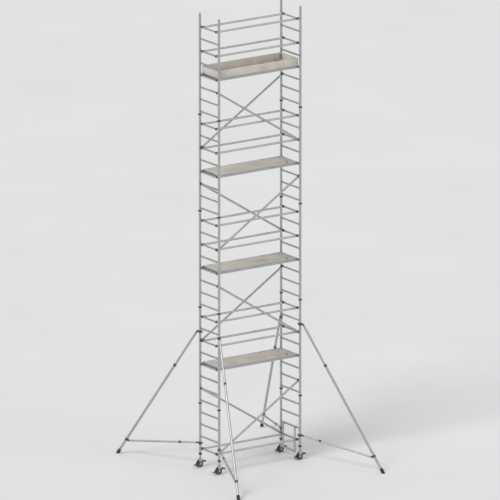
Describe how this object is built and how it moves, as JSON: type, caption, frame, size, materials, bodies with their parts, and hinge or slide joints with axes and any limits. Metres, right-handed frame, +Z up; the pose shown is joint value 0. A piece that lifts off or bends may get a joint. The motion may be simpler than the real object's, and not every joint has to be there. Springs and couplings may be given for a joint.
{
  "type": "mobile tower scaffold",
  "caption": "Tall narrow aluminium access tower of stacked ladder frames on castors, with trapdoor platforms, guardrails, toe boards and telescopic stabilisers.",
  "frame": {"origin": "on the floor, at the middle of the tower's footprint", "axes": "+X along the platforms towards the trapdoor end, +Y across the ladder frames, +Z up"},
  "size_m": [3.6042, 4.387, 9.43],
  "materials": {
    "frame_alloy": "satin extruded tube",
    "spigot_alloy": "satin turned tube",
    "clip_plastic": "moulded",
    "brace_alloy": "satin extruded tube",
    "claw_casting": "dark coated casting",
    "latch_plastic": "moulded",
    "platform_alloy": "mill finish extrusion",
    "deck_board": "phenolic faced plywood, anti-slip",
    "hook_casting": "dark coated casting",
    "toe_board": "sealed plywood",
    "zinc_steel": "zinc plated",
    "nut_casting": "dark coated casting",
    "wheel_nylon": "nylon wheel with rubber tyre",
    "pedal_steel": "dark coated pressing"
  },
  "bodies": {
    "tower": {"base_frames": "frame_alloy", "lift_frames_1": "frame_alloy", "lift_frames_2": "frame_alloy", "lift_frames_3": "frame_alloy", "lift_frames_4": "frame_alloy", "frame_spigots": "spigot_alloy", "frame_clips": "clip_plastic", "horizontal_braces": "brace_alloy", "diagonal_braces": "brace_alloy", "brace_claws": "claw_casting", "claw_latches": "latch_plastic", "platform_frames": "platform_alloy", "platform_decks": "deck_board", "platform_hooks": "hook_casting", "toe_boards": "toe_board", "entry_step": "brace_alloy"},
    "hatch_1": {"hatch_1": "deck_board"},
    "hatch_2": {"hatch_2": "deck_board"},
    "hatch_3": {"hatch_3": "deck_board"},
    "hatch_4": {"hatch_4": "deck_board"},
    "castor_leg_front_left": {"castor_leg_front_left": "zinc_steel"},
    "castor_nut_front_left": {"castor_nut_front_left": "nut_casting"},
    "castor_fork_front_left": {"castor_fork_front_left": "zinc_steel"},
    "castor_wheel_front_left": {"castor_wheel_front_left": "wheel_nylon"},
    "castor_pedal_front_left": {"castor_pedal_front_left": "pedal_steel"},
    "castor_leg_front_right": {"castor_leg_front_right": "zinc_steel"},
    "castor_nut_front_right": {"castor_nut_front_right": "nut_casting"},
    "castor_fork_front_right": {"castor_fork_front_right": "zinc_steel"},
    "castor_wheel_front_right": {"castor_wheel_front_right": "wheel_nylon"},
    "castor_pedal_front_right": {"castor_pedal_front_right": "pedal_steel"},
    "castor_leg_back_left": {"castor_leg_back_left": "zinc_steel"},
    "castor_nut_back_left": {"castor_nut_back_left": "nut_casting"},
    "castor_fork_back_left": {"castor_fork_back_left": "zinc_steel"},
    "castor_wheel_back_left": {"castor_wheel_back_left": "wheel_nylon"},
    "castor_pedal_back_left": {"castor_pedal_back_left": "pedal_steel"},
    "castor_leg_back_right": {"castor_leg_back_right": "zinc_steel"},
    "castor_nut_back_right": {"castor_nut_back_right": "nut_casting"},
    "castor_fork_back_right": {"castor_fork_back_right": "zinc_steel"},
    "castor_wheel_back_right": {"castor_wheel_back_right": "wheel_nylon"},
    "castor_pedal_back_right": {"castor_pedal_back_right": "pedal_steel"},
    "stabiliser_arm_front_left": {"stabiliser_leg_upper_front_left": "brace_alloy", "stabiliser_low_coupler_front_left": "claw_casting"},
    "stabiliser_leg_front_left": {"stabiliser_leg_lower_front_left": "brace_alloy"},
    "stabiliser_strut_front_left": {"stabiliser_strut_outer_front_left": "brace_alloy"},
    "stabiliser_strut_rod_front_left": {"stabiliser_strut_inner_front_left": "brace_alloy"},
    "stabiliser_arm_front_right": {"stabiliser_leg_upper_front_right": "brace_alloy", "stabiliser_low_coupler_front_right": "claw_casting"},
    "stabiliser_leg_front_right": {"stabiliser_leg_lower_front_right": "brace_alloy"},
    "stabiliser_strut_front_right": {"stabiliser_strut_outer_front_right": "brace_alloy"},
    "stabiliser_strut_rod_front_right": {"stabiliser_strut_inner_front_right": "brace_alloy"},
    "stabiliser_arm_back_left": {"stabiliser_leg_upper_back_left": "brace_alloy", "stabiliser_low_coupler_back_left": "claw_casting"},
    "stabiliser_leg_back_left": {"stabiliser_leg_lower_back_left": "brace_alloy"},
    "stabiliser_strut_back_left": {"stabiliser_strut_outer_back_left": "brace_alloy"},
    "stabiliser_strut_rod_back_left": {"stabiliser_strut_inner_back_left": "brace_alloy"},
    "stabiliser_arm_back_right": {"stabiliser_leg_upper_back_right": "brace_alloy", "stabiliser_low_coupler_back_right": "claw_casting"},
    "stabiliser_leg_back_right": {"stabiliser_leg_lower_back_right": "brace_alloy"},
    "stabiliser_strut_back_right": {"stabiliser_strut_outer_back_right": "brace_alloy"},
    "stabiliser_strut_rod_back_right": {"stabiliser_strut_inner_back_right": "brace_alloy"}
  },
  "joints": [
    {"name": "hatch_1_hinge", "type": "hinge", "parent": "tower", "child": "hatch_1", "pos_m": [0, 0.232, 2.2083], "axis": [-1, 0, 0], "range_deg": [0, 78]},
    {"name": "hatch_2_hinge", "type": "hinge", "parent": "tower", "child": "hatch_2", "pos_m": [0, 0.232, 4.2083], "axis": [-1, 0, 0], "range_deg": [0, 78]},
    {"name": "hatch_3_hinge", "type": "hinge", "parent": "tower", "child": "hatch_3", "pos_m": [0, 0.232, 6.2083], "axis": [-1, 0, 0], "range_deg": [0, 78]},
    {"name": "hatch_4_hinge", "type": "hinge", "parent": "tower", "child": "hatch_4", "pos_m": [0, 0.232, 8.2083], "axis": [-1, 0, 0], "range_deg": [0, 78]},
    {"name": "castor_leg_slide_front_left", "type": "slide", "parent": "tower", "child": "castor_leg_front_left", "axis": [0, 0, -1], "range_m": [0, 0.2]},
    {"name": "castor_nut_turn_front_left", "type": "hinge", "parent": "tower", "child": "castor_nut_front_left", "pos_m": [-0.99, -0.337, 0.28], "axis": [0, 0, 1], "range_deg": [0, 6001]},
    {"name": "castor_swivel_front_left", "type": "hinge", "parent": "castor_leg_front_left", "child": "castor_fork_front_left", "pos_m": [-0.99, -0.337, 0.165], "axis": [0, 0, 1], "continuous": true},
    {"name": "castor_roll_front_left", "type": "hinge", "parent": "castor_fork_front_left", "child": "castor_wheel_front_left", "pos_m": [-1.005, -0.337, 0.075], "axis": [0, 1, 0], "continuous": true},
    {"name": "castor_brake_front_left", "type": "hinge", "parent": "castor_fork_front_left", "child": "castor_pedal_front_left", "pos_m": [-0.99, -0.337, 0.112], "axis": [0, 1, 0], "range_deg": [0, 8.5]},
    {"name": "castor_leg_slide_front_right", "type": "slide", "parent": "tower", "child": "castor_leg_front_right", "axis": [0, 0, -1], "range_m": [0, 0.2]},
    {"name": "castor_nut_turn_front_right", "type": "hinge", "parent": "tower", "child": "castor_nut_front_right", "pos_m": [0.99, -0.337, 0.28], "axis": [0, 0, 1], "range_deg": [0, 6001]},
    {"name": "castor_swivel_front_right", "type": "hinge", "parent": "castor_leg_front_right", "child": "castor_fork_front_right", "pos_m": [0.99, -0.337, 0.165], "axis": [0, 0, 1], "continuous": true},
    {"name": "castor_roll_front_right", "type": "hinge", "parent": "castor_fork_front_right", "child": "castor_wheel_front_right", "pos_m": [0.975, -0.337, 0.075], "axis": [0, 1, 0], "continuous": true},
    {"name": "castor_brake_front_right", "type": "hinge", "parent": "castor_fork_front_right", "child": "castor_pedal_front_right", "pos_m": [0.99, -0.337, 0.112], "axis": [0, 1, 0], "range_deg": [0, 8.5]},
    {"name": "castor_leg_slide_back_left", "type": "slide", "parent": "tower", "child": "castor_leg_back_left", "axis": [0, 0, -1], "range_m": [0, 0.2]},
    {"name": "castor_nut_turn_back_left", "type": "hinge", "parent": "tower", "child": "castor_nut_back_left", "pos_m": [-0.99, 0.337, 0.28], "axis": [0, 0, 1], "range_deg": [0, 6001]},
    {"name": "castor_swivel_back_left", "type": "hinge", "parent": "castor_leg_back_left", "child": "castor_fork_back_left", "pos_m": [-0.99, 0.337, 0.165], "axis": [0, 0, 1], "continuous": true},
    {"name": "castor_roll_back_left", "type": "hinge", "parent": "castor_fork_back_left", "child": "castor_wheel_back_left", "pos_m": [-1.005, 0.337, 0.075], "axis": [0, 1, 0], "continuous": true},
    {"name": "castor_brake_back_left", "type": "hinge", "parent": "castor_fork_back_left", "child": "castor_pedal_back_left", "pos_m": [-0.99, 0.337, 0.112], "axis": [0, 1, 0], "range_deg": [0, 8.5]},
    {"name": "castor_leg_slide_back_right", "type": "slide", "parent": "tower", "child": "castor_leg_back_right", "axis": [0, 0, -1], "range_m": [0, 0.2]},
    {"name": "castor_nut_turn_back_right", "type": "hinge", "parent": "tower", "child": "castor_nut_back_right", "pos_m": [0.99, 0.337, 0.28], "axis": [0, 0, 1], "range_deg": [0, 6001]},
    {"name": "castor_swivel_back_right", "type": "hinge", "parent": "castor_leg_back_right", "child": "castor_fork_back_right", "pos_m": [0.99, 0.337, 0.165], "axis": [0, 0, 1], "continuous": true},
    {"name": "castor_roll_back_right", "type": "hinge", "parent": "castor_fork_back_right", "child": "castor_wheel_back_right", "pos_m": [0.975, 0.337, 0.075], "axis": [0, 1, 0], "continuous": true},
    {"name": "castor_brake_back_right", "type": "hinge", "parent": "castor_fork_back_right", "child": "castor_pedal_back_right", "pos_m": [0.99, 0.337, 0.112], "axis": [0, 1, 0], "range_deg": [0, 8.5]},
    {"name": "stabiliser_swing_front_left", "type": "hinge", "parent": "tower", "child": "stabiliser_arm_front_left", "pos_m": [-0.99, -0.337, 0.505], "axis": [0, 0, -1], "range_deg": [-40, 60]},
    {"name": "stabiliser_reach_front_left", "type": "slide", "parent": "stabiliser_arm_front_left", "child": "stabiliser_leg_front_left", "axis": [-0.2204, -0.5142, -0.8289], "range_m": [0, 0.2]},
    {"name": "stabiliser_strut_pivot_front_left", "type": "hinge", "parent": "stabiliser_leg_front_left", "child": "stabiliser_strut_front_left", "pos_m": [-1.66641, -1.91528, 0.30026], "axis": [0.9191, -0.3939, 0], "range_deg": [-1, 5.87]},
    {"name": "stabiliser_strut_slide_front_left", "type": "slide", "parent": "stabiliser_strut_front_left", "child": "stabiliser_strut_rod_front_left", "axis": [0.3909, 0.9121, 0.1234], "range_m": [-0.001, 0.1374]},
    {"name": "stabiliser_swing_front_right", "type": "hinge", "parent": "tower", "child": "stabiliser_arm_front_right", "pos_m": [0.99, -0.337, 0.505], "axis": [0, 0, 1], "range_deg": [-40, 60]},
    {"name": "stabiliser_reach_front_right", "type": "slide", "parent": "stabiliser_arm_front_right", "child": "stabiliser_leg_front_right", "axis": [0.2204, -0.5142, -0.8289], "range_m": [0, 0.2]},
    {"name": "stabiliser_strut_pivot_front_right", "type": "hinge", "parent": "stabiliser_leg_front_right", "child": "stabiliser_strut_front_right", "pos_m": [1.66641, -1.91528, 0.30026], "axis": [0.9191, 0.3939, 0], "range_deg": [-1, 5.87]},
    {"name": "stabiliser_strut_slide_front_right", "type": "slide", "parent": "stabiliser_strut_front_right", "child": "stabiliser_strut_rod_front_right", "axis": [-0.3909, 0.9121, 0.1234], "range_m": [-0.001, 0.1374]},
    {"name": "stabiliser_swing_back_left", "type": "hinge", "parent": "tower", "child": "stabiliser_arm_back_left", "pos_m": [-0.99, 0.337, 0.505], "axis": [0, 0, 1], "range_deg": [-40, 60]},
    {"name": "stabiliser_reach_back_left", "type": "slide", "parent": "stabiliser_arm_back_left", "child": "stabiliser_leg_back_left", "axis": [-0.2204, 0.5142, -0.8289], "range_m": [0, 0.2]},
    {"name": "stabiliser_strut_pivot_back_left", "type": "hinge", "parent": "stabiliser_leg_back_left", "child": "stabiliser_strut_back_left", "pos_m": [-1.66641, 1.91528, 0.30026], "axis": [-0.9191, -0.3939, 0], "range_deg": [-1, 5.87]},
    {"name": "stabiliser_strut_slide_back_left", "type": "slide", "parent": "stabiliser_strut_back_left", "child": "stabiliser_strut_rod_back_left", "axis": [0.3909, -0.9121, 0.1234], "range_m": [-0.001, 0.1374]},
    {"name": "stabiliser_swing_back_right", "type": "hinge", "parent": "tower", "child": "stabiliser_arm_back_right", "pos_m": [0.99, 0.337, 0.505], "axis": [0, 0, -1], "range_deg": [-40, 60]},
    {"name": "stabiliser_reach_back_right", "type": "slide", "parent": "stabiliser_arm_back_right", "child": "stabiliser_leg_back_right", "axis": [0.2204, 0.5142, -0.8289], "range_m": [0, 0.2]},
    {"name": "stabiliser_strut_pivot_back_right", "type": "hinge", "parent": "stabiliser_leg_back_right", "child": "stabiliser_strut_back_right", "pos_m": [1.66641, 1.91528, 0.30026], "axis": [-0.9191, 0.3939, 0], "range_deg": [-1, 5.87]},
    {"name": "stabiliser_strut_slide_back_right", "type": "slide", "parent": "stabiliser_strut_back_right", "child": "stabiliser_strut_rod_back_right", "axis": [-0.3909, -0.9121, 0.1234], "range_m": [-0.001, 0.1374]}
  ],
  "couplings": [
    {"joint": "castor_nut_turn_front_left", "follows": "castor_leg_slide_front_left", "rad_per_m": 523.6},
    {"joint": "castor_nut_turn_front_right", "follows": "castor_leg_slide_front_right", "rad_per_m": 523.6},
    {"joint": "castor_nut_turn_back_left", "follows": "castor_leg_slide_back_left", "rad_per_m": 523.6},
    {"joint": "castor_nut_turn_back_right", "follows": "castor_leg_slide_back_right", "rad_per_m": 523.6},
    {"joint": "stabiliser_strut_pivot_front_left", "follows": "stabiliser_reach_front_left", "rad_per_m": 0.42471},
    {"joint": "stabiliser_strut_slide_front_left", "follows": "stabiliser_reach_front_left", "ratio": 0.68217},
    {"joint": "stabiliser_strut_pivot_front_right", "follows": "stabiliser_reach_front_right", "rad_per_m": 0.42471},
    {"joint": "stabiliser_strut_slide_front_right", "follows": "stabiliser_reach_front_right", "ratio": 0.68217},
    {"joint": "stabiliser_strut_pivot_back_left", "follows": "stabiliser_reach_back_left", "rad_per_m": 0.42471},
    {"joint": "stabiliser_strut_slide_back_left", "follows": "stabiliser_reach_back_left", "ratio": 0.68217},
    {"joint": "stabiliser_strut_pivot_back_right", "follows": "stabiliser_reach_back_right", "rad_per_m": 0.42471},
    {"joint": "stabiliser_strut_slide_back_right", "follows": "stabiliser_reach_back_right", "ratio": 0.68217}
  ]
}
